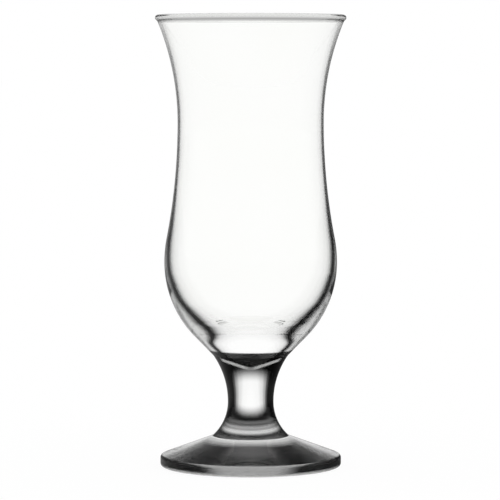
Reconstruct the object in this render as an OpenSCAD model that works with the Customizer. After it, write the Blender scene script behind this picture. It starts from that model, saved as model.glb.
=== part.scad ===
// Hurricane glass: a tall cocktail glass with a flared rim, a slim waist and a round belly.
// It is made of three pieces of clear glass fused hot, one above the other: foot, stem and bowl.
// Millimetres, +Z up. The foot rests on z = 0 and every piece is round about the Z axis.

/* [Bowl] */
// Height of the bowl, from the stem joint to the top of the lip
bowl_height = 151.6; // [140:0.1:190]
// Diameter over the rounded lip
rim_diameter = 85; // [78:0.5:100]
// Outside diameter at the waist, the narrowest place under the flared rim
waist_diameter = 65; // [54:0.5:68]
// Height of the waist above the stem joint
waist_height = 104; // [90:0.5:115]
// Outside diameter at the belly, the widest place of the lower bowl
belly_diameter = 77; // [72:0.5:88]
// Height of the belly above the stem joint
belly_height = 41.6; // [36:0.1:48]
// Height above the stem joint at which the belly's bulge turns into the waist's hollow
turn_height = 52.52; // [50:0.02:75]
// Outside diameter at the top of the straight cone that rises from the stem joint
cone_diameter = 49; // [43:0.5:54]
// Height of that cone above the stem joint
cone_height = 8; // [5:0.5:12]

/* [Glass thickness] */
// Thickness of the wall at the waist and in the flared rim
waist_wall = 1.6; // [1.2:0.1:2.1]
// Thickness of the wall at the belly
belly_wall = 2.4; // [1.5:0.1:3.5]
// Thickness of the solid glass between the cavity's floor and the stem joint
base_thickness = 13; // [11:0.1:16]
// Diameter of the flat part of the cavity's floor
floor_diameter = 38.6; // [32:0.2:42]
// Rounding between that floor and the cavity's side
floor_rounding = 5; // [3:0.1:7]
// Thickness of the fire polished lip
lip_thickness = 2.6; // [2.2:0.1:3.6]
// Length of wall over which the lip thins down to the wall
lip_taper = 1.6; // [1.4:0.1:8]

/* [Stem] */
// Height of the stem between its two fused joints
stem_height = 36.1; // [34:0.1:60]
// Diameter at the thinnest place of the stem
stem_diameter = 20.4; // [16:0.1:24]
// Height of the thinnest place above the foot joint
stem_waist_height = 15.3; // [14:0.1:18]
// Diameter of the fused joint between stem and bowl
neck_diameter = 33.4; // [28:0.1:40]

/* [Foot] */
// Height of the foot at its centre, from the table to the stem joint
foot_height = 13.4; // [10:0.1:18]
// Outside diameter of the foot
foot_diameter = 80.8; // [72:0.2:100]
// Diameter of the fused joint between foot and stem
ankle_diameter = 34; // [30:0.2:42]
// Height of the foot's edge, from the table to where its side would meet the sloping top
edge_height = 4.6; // [3.6:0.1:7]
// Rounding of the foot's upper and lower edges
edge_rounding = 1.3; // [0.6:0.1:1.5]
// Diameter of the shallow hollow under the foot
hollow_diameter = 66; // [50:0.5:67]
// Depth of that hollow at its centre
hollow_depth = 0.8; // [0.4:0.1:4]

/* [Hidden] */
$fn = 180;
// A radius greater than that of any piece
reach = 120;
// Heights of the two fused joints
foot_joint = foot_height;
bowl_joint = foot_joint + stem_height;

// Radius of an arc that is upright at one end and has moved sideways by run at a height rise
function upright_arc(rise, run) = (rise * rise + run * run) / (2 * run);

// Radii and heights of the bowl that follow from the sizes above
belly_radius = belly_diameter / 2;
waist_radius = waist_diameter / 2;
cone_radius = cone_diameter / 2;
lip_radius = (rim_diameter - lip_thickness) / 2;
lip_height = bowl_height - lip_thickness / 2;
cavity_belly = belly_radius - belly_wall;
cavity_waist = waist_radius - waist_wall;
corner_height = base_thickness + floor_rounding;

// The bulge and the hollow of the bowl's side are two arcs that share a tangent at the turn
turn_share = (turn_height - belly_height) / (waist_height - belly_height);
lower_arc = upright_arc(belly_height - cone_height, belly_radius - cone_radius);
side_arcs = upright_arc(waist_height - belly_height, belly_radius - waist_radius);
cavity_arcs = upright_arc(waist_height - belly_height, cavity_belly - cavity_waist);

// Below the belly the cavity's side is an arc that runs smoothly into the rounding of the floor
corner_run = cavity_belly - floor_diameter / 2 - floor_rounding;
corner_reach = upright_arc(belly_height - corner_height, corner_run);
corner_top = corner_height - floor_rounding * (belly_height - corner_height) / corner_reach;
cavity_arc = corner_reach + floor_rounding;

// The flare follows an arc from the middle of the waist's wall to the middle of the lip
flare_arc = upright_arc(lip_height - waist_height, lip_radius - waist_radius + waist_wall / 2);
flare_lean = asin((lip_height - waist_height) / flare_arc);

// Area between the axis and an arc that bulges out to a radius, from one height to another
module bulging(low, high, radius, middle, arc) {
    intersection() {
        translate([0, low])
            square([reach, high - low]);
        union() {
            translate([radius - arc, middle])
                circle(arc);
            if (arc < radius)
                translate([0, low])
                    square([radius - arc, high - low]);
        }
    }
}

// Area between the axis and an arc that curves in to a radius, from one height to another
module waisted(low, high, radius, middle, arc) {
    difference() {
        translate([0, low])
            square([radius + arc, high - low]);
        translate([radius + arc, middle])
            circle(arc);
    }
}

module bowl_outside() {
    polygon([
        [0, 0],
        [neck_diameter / 2, 0],
        [cone_radius, cone_height],
        [0, cone_height],
    ]);
    bulging(cone_height, belly_height, belly_radius, belly_height, lower_arc);
    bulging(belly_height, turn_height, belly_radius, belly_height, side_arcs * turn_share);
    waisted(turn_height, waist_height, waist_radius, waist_height, side_arcs * (1 - turn_share));
    waisted(waist_height, lip_height, waist_radius, waist_height, flare_arc - waist_wall / 2);
}

module bowl_cavity() {
    bulging(base_thickness, corner_top, floor_diameter / 2 + floor_rounding, corner_height, floor_rounding);
    bulging(corner_top, belly_height, cavity_belly, belly_height, cavity_arc);
    bulging(belly_height, turn_height, cavity_belly, belly_height, cavity_arcs * turn_share);
    waisted(turn_height, waist_height, cavity_waist, waist_height, cavity_arcs * (1 - turn_share));
    waisted(waist_height, bowl_height, cavity_waist, waist_height, flare_arc + waist_wall / 2);
}

// Round bead at the end of the wall, with flanks that run down into the wall
module lip() {
    flank = waist_wall / 2 - 0.1;
    translate([lip_radius, lip_height]) {
        circle(lip_thickness / 2);
        rotate(-flare_lean)
            polygon([
                [lip_thickness / 2, 0],
                [-lip_thickness / 2, 0],
                [-flank, -lip_taper],
                [flank, -lip_taper],
            ]);
    }
}

// Vessel, open at the top, with a thick solid base that is fused to the stem
module bowl() {
    color([0.84, 0.91, 0.90])
        translate([0, 0, bowl_joint])
            rotate_extrude() {
                difference() {
                    bowl_outside();
                    bowl_cavity();
                }
                lip();
            }
}

// Solid hourglass between the two fused joints
module stem() {
    thin = stem_diameter / 2;
    ankle_arc = upright_arc(stem_waist_height, ankle_diameter / 2 - thin);
    neck_arc = upright_arc(stem_height - stem_waist_height, neck_diameter / 2 - thin);
    color([0.78, 0.87, 0.87])
        translate([0, 0, foot_joint])
            rotate_extrude() {
                waisted(0, stem_waist_height, thin, stem_waist_height, ankle_arc);
                waisted(stem_waist_height, stem_height, thin, stem_waist_height, neck_arc);
            }
}

// Solid disc with a sloping top, rounded edges and a shallow hollow underneath
module foot() {
    edge = foot_diameter / 2;
    slope = atan2(foot_joint - edge_height, edge - ankle_diameter / 2);
    upper_middle = edge_height - edge_rounding * (1 - sin(slope)) / cos(slope);
    hollow_arc = upright_arc(hollow_diameter / 2, hollow_depth);
    color([0.72, 0.83, 0.83])
        rotate_extrude()
            difference() {
                union() {
                    polygon([
                        [0, 0],
                        [edge - edge_rounding, 0],
                        [edge, edge_rounding],
                        [edge, upper_middle],
                        [edge - edge_rounding * (1 - sin(slope)), upper_middle + edge_rounding * cos(slope)],
                        [ankle_diameter / 2, foot_joint],
                        [0, foot_joint],
                    ]);
                    translate([edge - edge_rounding, edge_rounding])
                        circle(edge_rounding);
                    translate([edge - edge_rounding, upper_middle])
                        circle(edge_rounding);
                }
                translate([0, hollow_depth - hollow_arc])
                    circle(hollow_arc);
            }
}

bowl();
stem();
foot();
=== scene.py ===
# Hurricane glass: a bowl, a stem and a foot of clear glass, fused into one, on a white studio table.
import math

import bpy
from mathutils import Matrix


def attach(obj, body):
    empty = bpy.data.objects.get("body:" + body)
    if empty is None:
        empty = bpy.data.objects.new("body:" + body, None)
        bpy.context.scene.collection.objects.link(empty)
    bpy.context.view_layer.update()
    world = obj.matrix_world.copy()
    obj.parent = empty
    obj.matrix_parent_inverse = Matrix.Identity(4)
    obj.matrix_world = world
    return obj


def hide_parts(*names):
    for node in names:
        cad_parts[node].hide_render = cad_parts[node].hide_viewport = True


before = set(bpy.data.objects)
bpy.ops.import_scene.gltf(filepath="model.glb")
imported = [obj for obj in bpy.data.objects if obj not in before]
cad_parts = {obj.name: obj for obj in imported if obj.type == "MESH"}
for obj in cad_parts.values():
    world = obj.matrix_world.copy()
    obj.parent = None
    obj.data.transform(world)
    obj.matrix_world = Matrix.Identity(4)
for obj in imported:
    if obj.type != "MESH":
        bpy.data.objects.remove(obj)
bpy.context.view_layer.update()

# Sizes of the bowl in metres, the same as the CAD part's; heights are above the stem joint
BOWL_HEIGHT = 0.1516
RIM_DIAMETER = 0.085
WAIST_DIAMETER = 0.065
WAIST_HEIGHT = 0.104
BELLY_DIAMETER = 0.077
BELLY_HEIGHT = 0.0416
TURN_HEIGHT = 0.05252
CONE_DIAMETER = 0.049
CONE_HEIGHT = 0.008

# Thickness of its glass
WAIST_WALL = 0.0016
BELLY_WALL = 0.0024
BASE_THICKNESS = 0.013
FLOOR_DIAMETER = 0.0386
FLOOR_ROUNDING = 0.005
LIP_THICKNESS = 0.0026
LIP_TAPER = 0.0016

# Sizes of the stem
STEM_HEIGHT = 0.0361
STEM_DIAMETER = 0.0204
STEM_WAIST_HEIGHT = 0.0153
NECK_DIAMETER = 0.0334

# Sizes of the foot
FOOT_HEIGHT = 0.0134
FOOT_DIAMETER = 0.0808
ANKLE_DIAMETER = 0.034
EDGE_HEIGHT = 0.0046
EDGE_ROUNDING = 0.0013
HOLLOW_DIAMETER = 0.066
HOLLOW_DEPTH = 0.0008

# Heights of the two fused joints above the table
FOOT_JOINT = FOOT_HEIGHT
BOWL_JOINT = FOOT_HEIGHT + STEM_HEIGHT

# Faces round each piece, the longest step along its outline, and the steps along the lip's taper
SIDES = 224
STEP = 0.0011
LIP_STEPS = 12
# Radius under which a point of an outline counts as on the axis
ON_AXIS = 1e-7
# Angle in degrees past which an edge of the glass looks sharp
SHARP_ANGLE = 25

# Painted shade: brightness painted on the stem and the foot by the share of grazing at which they are seen
STEM_EDGE = (
    (0.0, 1.0), (0.06, 0.95), (0.13, 0.76), (0.205, 0.42), (0.265, 0.10), (0.33, 0.01), (1.0, 0.005),
)
FOOT_TOP_EDGE = (
    (0.0, 1.0), (0.35, 1.0), (0.48, 0.25), (0.52, 0.15), (0.538, 0.12), (0.547, 0.085), (0.555, 0.05),
    (0.57, 0.03), (0.62, 0.03), (0.68, 0.08), (0.75, 0.26), (0.85, 0.7), (1.0, 1.0),
)
FOOT_SIDE_EDGE = (
    (0.0, 0.36), (0.05, 0.34), (0.08, 0.26), (0.11, 0.15), (0.15, 0.045), (0.19, 0.015), (1.0, 0.01),
)
# Painted shade: dark rings painted round the ankle, and the ends of the painted window above them: (height
# above the table, brightness)
STEM_PAINTED_BANDS = (
    (0.0134, 0.12), (0.0150, 0.04),
    (0.0167, 0.65), (0.0178, 0.30),
    (0.0184, 0.36), (0.0197, 0.09),
    (0.0205, 0.15), (0.0218, 0.01),
    (0.0222, 0.01), (0.0282, 1.00),
    (0.0385, 1.00), (0.0464, 0.01),
)
# How far the painted rings of the ankle and the lower end of the painted window rise towards the sides of
# the stem
RING_RISE = 0.0018
WINDOW_RISE = 0.008
# Heights between which that bend turns round, so that the upper end of the painted window dips
BEND_LOW = 0.030
BEND_TOP = 0.036
# Heights between which the ankle ends, and how much of the stem's painted dark sides it has
ANKLE_LOW = 0.0213
ANKLE_TOP = 0.0240
ANKLE_SIDES = 0.40
# Painted light: a light ring painted on the foot round the ankle: (radius, brightness)
FOOT_PAINTED_RING = ((0.0170, 0.75), (0.0190, 0.62), (0.0208, 0.38), (0.0228, 0.16), (0.0245, 0.0))
# Painted shade: how the front of its slope is painted darker outwards: (radius, share of the brightness
# that stays)
FOOT_FALL = ((0.0210, 0.9), (0.0279, 0.8), (0.0336, 0.48), (0.0390, 0.42))
# Shares of grazing between which the front of the slope passes into its sides
FOOT_FRONT = 0.56
FOOT_ASIDE = 0.66
# Painted light on the lower rounding of the foot's edge, standing in for what it gathers from the table:
# (height, brightness)
FOOT_PAINTED_GLEAM = ((0.0, 0.62), (0.0006, 0.48), (0.0011, 0.22), (0.0017, 0.0))
# How much the rounded edges of the foot count as turned away in their painted shade
FOOT_ROUNDING = 0.15
# Painted light: a fine light line painted in the neck, which dips in front: its height there, and how far
# it rises at the sides
NECK_LINE_LOW = 0.0442
NECK_LINE_RISE = 0.0049
# Share of grazing up to which it stays at its lowest
NECK_LINE_MIDDLE = 0.054
# Brightness across it: (height off the line, brightness)
NECK_LINE = ((0.0, 0.42), (0.0004, 0.36), (0.0010, 0.0))
# How clear that line is from its middle out to its ends: (how far aside, share)
NECK_LINE_REACH = ((0.0, 0.45), (0.3, 1.0), (0.78, 1.0), (0.88, 0.0))
# Painted shade: a dark band at the foot of the bowl above the stem joint, and shade painted under its lip:
# (height, brightness)
WALL_END_SHADE = (
    (0.0495, 0.02), (0.0518, 0.03), (0.0524, 1.0), (0.1972, 1.0), (0.1976, 0.88), (0.1980, 0.62),
    (0.1984, 0.42), (0.1990, 0.42),
)
# Share of grazing under which the glass is seen head on and is clear of painted shade, so that a baked copy
# is clear too
HEAD_ON = 0.00002

# Painted shade: brightness across the dark line painted along the bowl's wall: (share of grazing past the
# line, brightness)
WALL_LINE = (
    (-0.40, 1.0), (-0.29, 0.95), (-0.20, 0.87), (-0.15, 0.76),
    (-0.11, 0.56), (-0.08, 0.32), (-0.05, 0.11), (-0.02, 0.02),
    (0.03, 0.02), (0.06, 0.10), (0.10, 0.24), (0.14, 0.42),
    (0.18, 0.58), (0.25, 0.66), (0.50, 0.70),
)
# Painted shade: brightness painted on the lower bowl near its outer edge: (share of grazing, brightness)
OUTER_LINE = ((0.0, 1.0), (0.60, 1.0), (0.68, 0.65), (0.73, 0.4), (0.80, 0.65), (0.88, 1.0), (1.0, 1.0))
# Heights between which that painted shade of the outer edge ends
OUTER_LINE_LOW = 0.070
OUTER_LINE_TOP = 0.076
# Brightness that the painted line keeps at each height, as it thins towards the rim
LINE_LIGHT = (
    (0.10, 0.01), (0.110, 0.05), (0.118, 0.07), (0.128, 0.11), (0.165, 0.16), (0.173, 0.26), (0.181, 0.32),
    (0.190, 0.5), (0.20, 0.7),
)
# Place of the painted line: (height, share of grazing)
LINE_PLACE = (
    (0.0495, 0.36), (0.0517, 0.40), (0.0532, 0.42), (0.0550, 0.445), (0.0568, 0.425),
    (0.0586, 0.354), (0.0599, 0.314), (0.0613, 0.300), (0.0630, 0.306), (0.0648, 0.342),
    (0.0741, 0.52), (0.0875, 0.68), (0.13, 0.80),
)
# Width of the painted line at each height, as a share of its width in the belly
LINE_WIDTH = ((0.058, 0.67), (0.068, 1.0), (0.100, 1.0), (0.125, 0.65), (0.20, 0.65))

# Brightness of the dim cards round the glass and on the table, which only its outside mirrors
CARD_BACK = 0.6
CARD_LEFT = 0.15
CARD_RIGHT = 0.05
CARD_FRONT = 0.9
CARD_TABLE_LEFT = 0.25
CARD_TABLE_RIGHT = 0.05
# Where they pass into each other, in degrees round the glass from straight behind it
CARD_MIDDLE = 10
CARD_BACK_START = 6
CARD_BACK_END = 14
CARD_FRONT_START = 60
CARD_FRONT_END = 90
# Half the stretch of the table on which its left card passes into its right one, as a share of the way out
CARD_TABLE_MIDDLE = 0.2

# Refraction of soda lime glass, and the share of its plain gloss that each piece shows
GLASS_IOR = 1.52
BOWL_GLOSS = 0.1
STEM_GLOSS = 0.1
FOOT_GLOSS = 0.15
# Painted shade that greys the lip, darkest where its bead meets the wall: (height above the table,
# brightness)
LIP_PAINTED_SHADE = ((0.1980, 0.42), (0.1988, 0.42), (0.1992, 0.56), (0.1997, 0.74), (0.2004, 0.78), (0.2011, 0.80))

# Marks that the glass keeps from being pressed and fire polished: a drifting tint
CLEAR_TINT = (1.0, 1.0, 1.0, 1.0)
DEEP_TINT = (0.985, 0.99, 0.975, 1.0)
TINT_SCALE = 25.0
# Patches of haze, and the noise levels between which they come in
HAZE = 0.01
HAZE_SCALE = 120.0
HAZE_START = 0.45
HAZE_FULL = 0.75
# Long waves, drawn out along the height
WAVE_DEPTH = 0.0001
WAVE_SCALE = 35.0
WAVE_DRAW = (1.0, 1.0, 0.3)
# Scuffs on the ring that the foot stands on: where the ring begins, and the noise that makes their grit
SCUFFS = 0.3
SCUFF_RING_START = 0.0325
SCUFF_RING_FULL = 0.0345
GRIT_SCALE = 1800.0
GRIT_START = 0.5
GRIT_FULL = 0.7

# Share of the table's white that is lit, and so can take a shadow; the rest glows
TABLE_LIT = 0.06
# Half the width of the table, and how far it lies under the foot
TABLE_REACH = 40.0
TABLE_DROP = 0.0002

# Lens and sensor of the camera in millimetres, its place, its tilt in degrees, and how far it sees
LENS = 203.8
SENSOR = 36
CAMERA_PLACE = (-0.0003, -1.26, 0.1758)
CAMERA_TILT = 86.4
CAMERA_SIGHT = 100

# How often light may bounce in all, and how often off mirroring faces
BOUNCES = 40
MIRROR_BOUNCES = 20


def upright_arc(rise, run):
    """Radius of an arc that is upright at one end and has moved sideways by run at a height rise."""
    return (rise * rise + run * run) / (2 * run)


def arc(centre, radius, start, end, step=STEP):
    """Points (radius, height) of an arc, from one angle to another in radians."""
    count = max(3, math.ceil(abs(end - start) * radius / step))
    angles = [start + (end - start) * i / count for i in range(count + 1)]
    return [(centre[0] + radius * math.cos(a), centre[1] + radius * math.sin(a)) for a in angles]


def line(start, end, step=STEP):
    """Points (radius, height) of a straight stretch."""
    count = max(1, math.ceil(math.dist(start, end) / step))
    shares = [i / count for i in range(count + 1)]
    return [(start[0] + (end[0] - start[0]) * s, start[1] + (end[1] - start[1]) * s) for s in shares]


def ease(share):
    """Smooth rise from 0 to 1."""
    share = min(1.0, max(0.0, share))
    return share * share * (3 - 2 * share)


def side(low, high, belly, waist):
    """Belly's bulge and waist's hollow: two arcs with a common tangent, from the belly up to the waist."""
    turn_share = (TURN_HEIGHT - BELLY_HEIGHT) / (WAIST_HEIGHT - BELLY_HEIGHT)
    arcs = upright_arc(high - low, belly - waist)
    bulge = arcs * turn_share
    hollow = arcs - bulge
    lean = math.asin((high - low) / arcs)
    lower = arc((belly - bulge, low), bulge, 0, lean)
    upper = arc((waist + hollow, high), hollow, math.pi + lean, math.pi)
    return lower + upper[1:]


def flare():
    """Flared rim: outer points going up, the lip's own points, and inner points going down."""
    lip = (RIM_DIAMETER / 2 - LIP_THICKNESS / 2, BOWL_JOINT + BOWL_HEIGHT - LIP_THICKNESS / 2)
    start = (WAIST_DIAMETER / 2 - WAIST_WALL / 2, BOWL_JOINT + WAIST_HEIGHT)
    radius = upright_arc(lip[1] - start[1], lip[0] - start[0])
    lean = math.asin((lip[1] - start[1]) / radius)
    centre = (start[0] + radius, start[1])
    taper = LIP_TAPER / radius
    count = math.ceil(lean * radius / STEP)
    angles = [(lean - taper) * i / count for i in range(count)]
    angles += [lean - taper * i / LIP_STEPS for i in range(LIP_STEPS, 0, -1)]
    outer, inner = [], []
    for a in angles:
        swell = ease(1 - (lean - a) / taper)
        half = (WAIST_WALL + (LIP_THICKNESS - WAIST_WALL) * swell) / 2
        outer.append((centre[0] - (radius - half) * math.cos(a), centre[1] + (radius - half) * math.sin(a)))
        inner.append((centre[0] - (radius + half) * math.cos(a), centre[1] + (radius + half) * math.sin(a)))
    over = arc(lip, LIP_THICKNESS / 2, -lean, math.pi - lean, STEP / 4)
    bead = len(outer) - LIP_STEPS // 2
    return outer[:bead + 1], outer[bead:] + over + inner[:bead - 1:-1], inner[bead::-1]


def bowl_outline():
    """Outline of the bowl, from the middle of the stem joint up the outside and down the inside."""
    joint = (NECK_DIAMETER / 2, BOWL_JOINT)
    cone = (CONE_DIAMETER / 2, BOWL_JOINT + CONE_HEIGHT)
    belly = BELLY_DIAMETER / 2
    waist = WAIST_DIAMETER / 2
    low = BOWL_JOINT + BELLY_HEIGHT
    high = BOWL_JOINT + WAIST_HEIGHT
    lower = upright_arc(BELLY_HEIGHT - CONE_HEIGHT, belly - cone[0])
    below = math.asin((BELLY_HEIGHT - CONE_HEIGHT) / lower)
    cavity = belly - BELLY_WALL
    floor = (FLOOR_DIAMETER / 2, BOWL_JOINT + BASE_THICKNESS)
    corner = (floor[0], floor[1] + FLOOR_ROUNDING)
    reach = upright_arc(low - corner[1], cavity - floor[0] - FLOOR_ROUNDING)
    hollow = reach + FLOOR_ROUNDING
    turn = -math.asin((low - corner[1]) / reach)
    rise, lip, fall = flare()
    outside = line(joint, cone)
    outside += arc((belly - lower, low), lower, -below, 0)[1:]
    outside += side(low, high, belly, waist)[1:]
    outside += rise[1:]
    inside = fall
    inside += side(low, high, cavity, waist - WAIST_WALL)[::-1][1:]
    inside += arc((cavity - hollow, low), hollow, 0, turn)[1:]
    inside += arc(corner, FLOOR_ROUNDING, turn, -math.pi / 2, STEP / 2)[1:]
    inside += line(floor, (0.0, floor[1]))[1:]
    return [("joint", [(0.0, BOWL_JOINT), joint]), ("wall", outside), ("lip", lip), ("cavity", inside)]


def stem_outline():
    """Outline of the stem, from the middle of the foot joint up to the middle of the bowl joint."""
    thin = STEM_DIAMETER / 2
    middle = FOOT_JOINT + STEM_WAIST_HEIGHT
    ankle = upright_arc(STEM_WAIST_HEIGHT, ANKLE_DIAMETER / 2 - thin)
    neck = upright_arc(STEM_HEIGHT - STEM_WAIST_HEIGHT, NECK_DIAMETER / 2 - thin)
    below = math.asin(STEM_WAIST_HEIGHT / ankle)
    above = math.asin((STEM_HEIGHT - STEM_WAIST_HEIGHT) / neck)
    waisted = arc((thin + ankle, middle), ankle, math.pi + below, math.pi)
    waisted += arc((thin + neck, middle), neck, math.pi, math.pi - above)[1:]
    low = [(0.0, FOOT_JOINT), waisted[0]]
    high = [waisted[-1], (0.0, BOWL_JOINT)]
    return [("joint", low), ("stem", waisted), ("joint", high)]


def foot_outline():
    """Outline of the foot, from the middle of its hollow out to the edge and up to the stem joint."""
    edge = FOOT_DIAMETER / 2
    ankle = ANKLE_DIAMETER / 2
    slope = math.atan2(FOOT_JOINT - EDGE_HEIGHT, edge - ankle)
    upper = EDGE_HEIGHT - EDGE_ROUNDING * (1 - math.sin(slope)) / math.cos(slope)
    hollow = upright_arc(HOLLOW_DIAMETER / 2, HOLLOW_DEPTH)
    spread = math.asin(HOLLOW_DIAMETER / 2 / hollow)
    rounding = edge - EDGE_ROUNDING
    fine = EDGE_ROUNDING / 8
    under = arc((0.0, HOLLOW_DEPTH - hollow), hollow, math.pi / 2, math.pi / 2 - spread)
    under += line(under[-1], (rounding, 0.0))[1:]
    edge_side = arc((rounding, EDGE_ROUNDING), EDGE_ROUNDING, -math.pi / 2, 0, fine)
    edge_side += arc((rounding, upper), EDGE_ROUNDING, 0, math.pi / 2 - slope, fine)
    top = line(edge_side[-1], (ankle, FOOT_JOINT))
    joint = [top[-1], (0.0, FOOT_JOINT)]
    return [("foot_under", under), ("foot_side", edge_side), ("foot_top", top), ("joint", joint)]


def lathe(name, runs, glasses):
    """Turns an outline about the Z axis. Each run of the outline is named after the glass it gets."""
    outline, finishes = [], []
    for finish, points in runs:
        fresh = points[1:] if outline else points
        finishes += [finish] * (len(points) - 1)
        outline += fresh
    kinds = list(dict.fromkeys(finishes))
    verts, rows, faces, materials = [], [], [], []
    for radius, height in outline:
        first = len(verts)
        if radius < ON_AXIS:
            verts.append((0.0, 0.0, height))
            rows.append([first] * SIDES)
            continue
        for i in range(SIDES):
            a = 2 * math.pi * i / SIDES
            verts.append((radius * math.cos(a), radius * math.sin(a), height))
        rows.append(list(range(first, first + SIDES)))
    for low, high, finish in zip(rows, rows[1:], finishes):
        for i in range(SIDES):
            j = (i + 1) % SIDES
            faces.append(list(dict.fromkeys((low[i], low[j], high[j], high[i]))))
            materials.append(kinds.index(finish))
    mesh = bpy.data.meshes.new(name)
    mesh.from_pydata(verts, [], faces)
    for kind in kinds:
        mesh.materials.append(glasses[kind])
    mesh.polygons.foreach_set("material_index", materials)
    mesh.polygons.foreach_set("use_smooth", [True] * len(faces))
    mesh.set_sharp_from_angle(angle=math.radians(SHARP_ANGLE))
    piece = bpy.data.objects.new(name, mesh)
    bpy.context.scene.collection.objects.link(piece)
    return piece


def add(tree, kind, **values):
    """New node with values for its inputs, by name or, as input_0 and so on, by place."""
    node = tree.nodes.new(kind)
    for name, value in values.items():
        place = int(name[6:]) if name.startswith("input_") else name.replace("_", " ")
        if isinstance(value, bpy.types.NodeSocket):
            tree.links.new(value, node.inputs[place])
        else:
            node.inputs[place].default_value = value
    return node


def calculate(tree, operation, first, second=0.0, third=0.0):
    """Result of a Math node."""
    node = add(tree, "ShaderNodeMath", input_0=first, input_1=second, input_2=third)
    node.operation = operation
    return node.outputs["Value"]


def fade(tree, value, low, high, start, end):
    """Smooth change from start to end while a value goes from low to high."""
    limits = {"From_Min": low, "From_Max": high, "To_Min": start, "To_Max": end}
    node = add(tree, "ShaderNodeMapRange", Value=value, **limits)
    node.interpolation_type = "SMOOTHSTEP"
    return node.outputs["Result"]


def blend(tree, share, first, second):
    """Value that goes from first to second as a share goes from 0 to 1."""
    node = add(tree, "ShaderNodeMix", Factor=share, A=first, B=second)
    return node.outputs["Result"]


def new_material(name):
    """Material with a Principled shader, and its node tree and shader."""
    material = bpy.data.materials.new(name)
    material.use_nodes = True
    return material, material.node_tree, material.node_tree.nodes["Principled BSDF"]


def ramp(tree, value, stops, course="EASE"):
    """Level that follows a value smoothly through stops (value, level)."""
    start = stops[0][0]
    end = stops[-1][0]
    share = add(tree, "ShaderNodeMapRange", Value=value, From_Min=start, From_Max=end).outputs["Result"]
    node = add(tree, "ShaderNodeValToRGB", Fac=share)
    node.color_ramp.interpolation = course
    elements = node.color_ramp.elements
    while len(elements) < len(stops):
        elements.new(0.5)
    for element, (place, level) in zip(elements, stops):
        element.position = (place - start) / (end - start)
        element.color = (level, level, level, 1.0)
    return node.outputs["Color"]


def grazing(tree):
    """Share of grazing: 0 where the glass is seen head on and 1 where it is seen edge on."""
    return add(tree, "ShaderNodeLayerWeight", Blend=0.5).outputs["Facing"]


def grazing_round(tree):
    """Share of grazing round the upright axis alone, whatever the slope of the side."""
    head_on = calculate(tree, "SUBTRACT", 1.0, grazing(tree))
    normal = add(tree, "ShaderNodeNewGeometry").outputs["Normal"]
    tilt = add(tree, "ShaderNodeSeparateXYZ", Vector=normal).outputs["Z"]
    level = calculate(tree, "SUBTRACT", 1.0, calculate(tree, "MULTIPLY", tilt, tilt))
    head_on = calculate(tree, "DIVIDE", head_on, calculate(tree, "SQRT", level))
    return calculate(tree, "SUBTRACT", 1.0, head_on)


def glass_marks():
    """Node group for the marks of pressed glass: a drifting tint, patches of haze and long waves."""
    group = bpy.data.node_groups.new("glass_marks", "ShaderNodeTree")
    group.interface.new_socket("Place", in_out="INPUT", socket_type="NodeSocketVector")
    group.interface.new_socket("Haze", in_out="INPUT", socket_type="NodeSocketFloat")
    group.interface.new_socket("Tint", in_out="OUTPUT", socket_type="NodeSocketColor")
    group.interface.new_socket("Roughness", in_out="OUTPUT", socket_type="NodeSocketFloat")
    group.interface.new_socket("Waves", in_out="OUTPUT", socket_type="NodeSocketFloat")
    given = group.nodes.new("NodeGroupInput").outputs
    result = group.nodes.new("NodeGroupOutput").inputs
    drift = add(group, "ShaderNodeTexNoise", Vector=given["Place"], Scale=TINT_SCALE).outputs["Fac"]
    tint = add(group, "ShaderNodeValToRGB", Fac=drift)
    tint.color_ramp.elements[0].color = CLEAR_TINT
    tint.color_ramp.elements[1].color = DEEP_TINT
    patches = add(group, "ShaderNodeTexNoise", Vector=given["Place"], Scale=HAZE_SCALE).outputs["Fac"]
    patches = fade(group, patches, HAZE_START, HAZE_FULL, 0.0, 1.0)
    drawn = add(group, "ShaderNodeVectorMath", input_0=given["Place"], input_1=WAVE_DRAW)
    drawn.operation = "MULTIPLY"
    waves = add(group, "ShaderNodeTexNoise", Vector=drawn.outputs["Vector"], Scale=WAVE_SCALE)
    group.links.new(tint.outputs["Color"], result["Tint"])
    group.links.new(calculate(group, "MULTIPLY", patches, given["Haze"]), result["Roughness"])
    group.links.new(waves.outputs["Fac"], result["Waves"])
    return group


def clear_glass(name, gloss, marks):
    """Clear fire polished soda lime glass."""
    material, tree, shader = new_material(name)
    place = add(tree, "ShaderNodeTexCoord").outputs["Object"]
    detail = tree.nodes.new("ShaderNodeGroup")
    detail.node_tree = marks
    detail.inputs["Haze"].default_value = HAZE
    tree.links.new(place, detail.inputs["Place"])
    bump = add(tree, "ShaderNodeBump", Height=detail.outputs["Waves"], Distance=WAVE_DEPTH)
    tree.links.new(detail.outputs["Tint"], shader.inputs["Base Color"])
    tree.links.new(detail.outputs["Roughness"], shader.inputs["Roughness"])
    tree.links.new(bump.outputs["Normal"], shader.inputs["Normal"])
    shader.inputs["IOR"].default_value = GLASS_IOR
    shader.inputs["Transmission Weight"].default_value = 1.0
    shader.inputs["Specular Tint"].default_value = (gloss, gloss, gloss, 1.0)
    return material, tree, shader


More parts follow.
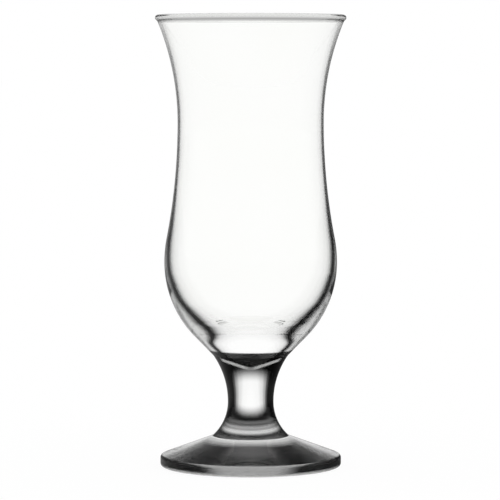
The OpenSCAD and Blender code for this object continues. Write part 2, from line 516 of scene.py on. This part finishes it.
def shade(tree, shader, brightness):
    """Paints the given shade and light into the base colour of the first glass that is seen from outside.
    Light takes the square root of the base colour.
    """
    inside = add(tree, "ShaderNodeNewGeometry").outputs["Backfacing"]
    gone_in = add(tree, "ShaderNodeLightPath").outputs["Transmission Depth"]
    clear = calculate(tree, "MAXIMUM", inside, calculate(tree, "MINIMUM", gone_in, 1.0))
    head_on = fade(tree, grazing(tree), HEAD_ON, 2 * HEAD_ON, 1.0, 0.0)
    clear = calculate(tree, "MAXIMUM", clear, head_on)
    brightness = calculate(tree, "MAXIMUM", brightness, clear)
    tint = shader.inputs["Base Color"].links[0].from_socket
    share = calculate(tree, "MULTIPLY", brightness, brightness)
    shaded = add(tree, "ShaderNodeVectorMath", input_0=tint, input_3=share)
    shaded.operation = "SCALE"
    tree.links.new(shaded.outputs["Vector"], shader.inputs["Base Color"])


def place_on(tree):
    """Outputs X, Y and Z of a place on the glass."""
    place = add(tree, "ShaderNodeTexCoord").outputs["Object"]
    return add(tree, "ShaderNodeSeparateXYZ", Vector=place).outputs


def height_on(tree):
    """Height above the table."""
    return place_on(tree)["Z"]


def away_on(tree):
    """Distance from the axis."""
    place = place_on(tree)
    flat = add(tree, "ShaderNodeCombineXYZ", X=place["X"], Y=place["Y"]).outputs["Vector"]
    away = add(tree, "ShaderNodeVectorMath", input_0=flat)
    away.operation = "LENGTH"
    return away.outputs["Value"]


def wall_glass(marks):
    """Outside of the bowl: a painted dark line follows the cavity, where the wall is seen edge on, with
    painted shade near the lower bowl's outer edge.
    """
    material, tree, shader = clear_glass("bowl_wall", BOWL_GLOSS, marks)
    height = height_on(tree)
    round_side = grazing_round(tree)
    past = calculate(tree, "SUBTRACT", round_side, ramp(tree, height, LINE_PLACE, "CARDINAL"))
    past = calculate(tree, "DIVIDE", past, ramp(tree, height, LINE_WIDTH))
    brightness = ramp(tree, past, WALL_LINE)
    upper = fade(tree, height, OUTER_LINE_LOW, OUTER_LINE_TOP, 0.0, 1.0)
    outer = calculate(tree, "MAXIMUM", ramp(tree, round_side, OUTER_LINE), upper)
    brightness = calculate(tree, "MULTIPLY", brightness, outer)
    brightness = calculate(tree, "MAXIMUM", brightness, ramp(tree, height, LINE_LIGHT))
    shade(tree, shader, calculate(tree, "MULTIPLY", brightness, ramp(tree, height, WALL_END_SHADE)))
    return material


def neck_line(tree, height, side_on):
    """Brightness of the painted light line in the neck, which rises with how far aside the glass is seen.
    """
    side_on = calculate(tree, "MAXIMUM", calculate(tree, "SUBTRACT", side_on, NECK_LINE_MIDDLE), 0.0)
    aside = calculate(tree, "MULTIPLY", side_on, calculate(tree, "SUBTRACT", 2.0, side_on))
    aside = calculate(tree, "SQRT", aside)
    line_at = calculate(tree, "MULTIPLY_ADD", aside, NECK_LINE_RISE, NECK_LINE_LOW)
    off = calculate(tree, "ABSOLUTE", calculate(tree, "SUBTRACT", height, line_at))
    return calculate(tree, "MULTIPLY", ramp(tree, off, NECK_LINE), ramp(tree, aside, NECK_LINE_REACH))


def stem_glass(marks):
    """Solid stem with painted shade: a clear window between dark sides, dark rings painted where the ankle
    would bend the light, and a painted light line in the neck.
    """
    material, tree, shader = clear_glass("stem_painted_shade", STEM_GLOSS, marks)
    height = height_on(tree)
    side_on = grazing_round(tree)
    sides = fade(tree, height, ANKLE_LOW, ANKLE_TOP, ANKLE_SIDES, 1.0)
    window = ramp(tree, calculate(tree, "MULTIPLY", side_on, sides), STEM_EDGE)
    rise = fade(tree, height, ANKLE_LOW, ANKLE_TOP, RING_RISE, WINDOW_RISE)
    rise = calculate(tree, "MULTIPLY", rise, fade(tree, height, BEND_LOW, BEND_TOP, 1.0, -1.0))
    level = calculate(tree, "SUBTRACT", height, calculate(tree, "MULTIPLY", side_on, rise))
    window = calculate(tree, "MULTIPLY", window, ramp(tree, level, STEM_PAINTED_BANDS))
    shade(tree, shader, calculate(tree, "MAXIMUM", window, neck_line(tree, height, side_on)))
    return material


def foot_top_glass(marks):
    """Sloping top of the foot with painted shade: dark lobes beside a grey middle, with a painted light
    ring round the ankle.
    """
    material, tree, shader = clear_glass("foot_top", FOOT_GLOSS, marks)
    away = away_on(tree)
    turned = grazing(tree)
    lobes = ramp(tree, turned, FOOT_TOP_EDGE)
    front = fade(tree, turned, FOOT_FRONT, FOOT_ASIDE, 1.0, 0.0)
    lobes = calculate(tree, "MULTIPLY", lobes, blend(tree, front, 1.0, ramp(tree, away, FOOT_FALL)))
    shade(tree, shader, calculate(tree, "MAXIMUM", lobes, ramp(tree, away, FOOT_PAINTED_RING)))
    return material


def foot_side_glass(marks):
    """Edge of the foot, painted grey in front and dark towards its ends, with painted light low on its
    rounding.
    """
    material, tree, shader = clear_glass("foot_side", FOOT_GLOSS, marks)
    turned = calculate(tree, "MULTIPLY", grazing(tree), FOOT_ROUNDING)
    turned = calculate(tree, "MAXIMUM", grazing_round(tree), turned)
    gleam = ramp(tree, height_on(tree), FOOT_PAINTED_GLEAM)
    shade(tree, shader, calculate(tree, "MAXIMUM", ramp(tree, turned, FOOT_SIDE_EDGE), gleam))
    return material


def lip_glass(marks):
    """Fire polished lip, greyed by painted shade."""
    material, tree, shader = clear_glass("lip_painted_shade", BOWL_GLOSS, marks)
    shade(tree, shader, ramp(tree, height_on(tree), LIP_PAINTED_SHADE))
    return material


def foot_under_glass(marks):
    """Underside of the foot, clear but for the fine scuffs of the ring that it stands on."""
    material, tree, shader = clear_glass("foot_under", FOOT_GLOSS, marks)
    ring = fade(tree, away_on(tree), SCUFF_RING_START, SCUFF_RING_FULL, 0.0, 1.0)
    place = add(tree, "ShaderNodeTexCoord").outputs["Object"]
    grit = add(tree, "ShaderNodeTexNoise", Vector=place, Scale=GRIT_SCALE).outputs["Fac"]
    scuffs = calculate(tree, "MULTIPLY", ring, fade(tree, grit, GRIT_START, GRIT_FULL, 0.0, SCUFFS))
    haze = shader.inputs["Roughness"].links[0].from_socket
    tree.links.new(calculate(tree, "MAXIMUM", haze, scuffs), shader.inputs["Roughness"])
    return material


def fused_joint():
    """Face where two pieces are melted into one, so that light goes straight on."""
    material, _, shader = new_material("fused_joint")
    shader.inputs["Alpha"].default_value = 0.0
    return material


def make_glass():
    """Bowl, stem and foot in place of the CAD part's nodes."""
    marks = glass_marks()
    glasses = {
        "joint": fused_joint(),
        "wall": wall_glass(marks),
        "lip": lip_glass(marks),
        "cavity": clear_glass("bowl_cavity", BOWL_GLOSS, marks)[0],
        "stem": stem_glass(marks),
        "foot_under": foot_under_glass(marks),
        "foot_side": foot_side_glass(marks),
        "foot_top": foot_top_glass(marks),
    }
    outlines = {"bowl": bowl_outline(), "stem": stem_outline(), "foot": foot_outline()}
    for node, runs in outlines.items():
        piece = lathe(node + "_glass", runs, glasses)
        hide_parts(node)
        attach(piece, "root")


def mirrored_share(tree):
    """1 for light mirrored off the outside of the glass, 0 for light that is seen or comes through it."""
    path = add(tree, "ShaderNodeLightPath").outputs
    off = calculate(tree, "GREATER_THAN", path["Glossy Depth"], 0.5)
    through = calculate(tree, "GREATER_THAN", path["Transmission Depth"], 0.5)
    return calculate(tree, "MULTIPLY", off, calculate(tree, "SUBTRACT", 1.0, through))


def make_studio():
    """White all round, with dim cards that only the outside of the glass mirrors."""
    world = bpy.data.worlds.new("studio")
    bpy.context.scene.world = world
    world.use_nodes = True
    tree = world.node_tree
    white = tree.nodes["Background"]
    white.inputs["Color"].default_value = (1.0, 1.0, 1.0, 1.0)
    place = add(tree, "ShaderNodeTexCoord").outputs["Generated"]
    way = add(tree, "ShaderNodeSeparateXYZ", Vector=place).outputs
    turn = calculate(tree, "ARCTAN2", way["X"], way["Y"])
    turn = calculate(tree, "MULTIPLY", turn, math.degrees(1.0))
    aside = calculate(tree, "ABSOLUTE", turn)
    sides = fade(tree, turn, -CARD_MIDDLE, CARD_MIDDLE, CARD_LEFT, CARD_RIGHT)
    back = fade(tree, aside, CARD_BACK_START, CARD_BACK_END, CARD_BACK, 0.0)
    front = fade(tree, aside, CARD_FRONT_START, CARD_FRONT_END, 0.0, CARD_FRONT)
    cards = calculate(tree, "MAXIMUM", calculate(tree, "MAXIMUM", sides, back), front)
    tree.links.new(blend(tree, mirrored_share(tree), 1.0, cards), white.inputs["Strength"])


def make_table():
    """White table that reaches to the horizon."""
    mesh = bpy.data.meshes.new("table")
    corners = [(-1, -1), (1, -1), (1, 1), (-1, 1)]
    mesh.from_pydata([(x * TABLE_REACH, y * TABLE_REACH, 0.0) for x, y in corners], [], [(0, 1, 2, 3)])
    table = bpy.data.objects.new("table", mesh)
    table.location = (0, 0, -TABLE_DROP)
    bpy.context.scene.collection.objects.link(table)
    material, tree, shader = new_material("white_table")
    mesh.materials.append(material)
    place = add(tree, "ShaderNodeNewGeometry").outputs["Position"]
    outward = add(tree, "ShaderNodeVectorMath", input_0=place)
    outward.operation = "NORMALIZE"
    aside = add(tree, "ShaderNodeSeparateXYZ", Vector=outward.outputs["Vector"]).outputs["X"]
    cards = fade(tree, aside, -CARD_TABLE_MIDDLE, CARD_TABLE_MIDDLE, CARD_TABLE_LEFT, CARD_TABLE_RIGHT)
    glow = blend(tree, mirrored_share(tree), 1.0 - TABLE_LIT, cards)
    shader.inputs["Base Color"].default_value = (TABLE_LIT, TABLE_LIT, TABLE_LIT, 1.0)
    shader.inputs["Roughness"].default_value = 1.0
    shader.inputs["Specular IOR Level"].default_value = 0.0
    shader.inputs["Emission Color"].default_value = (1.0, 1.0, 1.0, 1.0)
    tree.links.new(glow, shader.inputs["Emission Strength"])


def make_camera():
    """Long lens a little below the rim, at the photo's angle."""
    camera = bpy.data.cameras.new("camera")
    camera.lens = LENS
    camera.sensor_width = SENSOR
    camera.clip_end = CAMERA_SIGHT
    rig = bpy.data.objects.new("camera", camera)
    rig.location = CAMERA_PLACE
    rig.rotation_euler = (math.radians(CAMERA_TILT), 0, 0)
    bpy.context.scene.collection.objects.link(rig)
    bpy.context.scene.camera = rig


def set_view():
    """Plain view, and enough bounces for light to find its way through the glass."""
    scene = bpy.context.scene
    scene.view_settings.view_transform = "Standard"
    scene.cycles.max_bounces = BOUNCES
    scene.cycles.transmission_bounces = BOUNCES
    scene.cycles.glossy_bounces = MIRROR_BOUNCES
    scene.cycles.transparent_max_bounces = BOUNCES
    scene.cycles.caustics_refractive = False
    scene.cycles.caustics_reflective = False


make_glass()
make_studio()
make_table()
make_camera()
set_view()
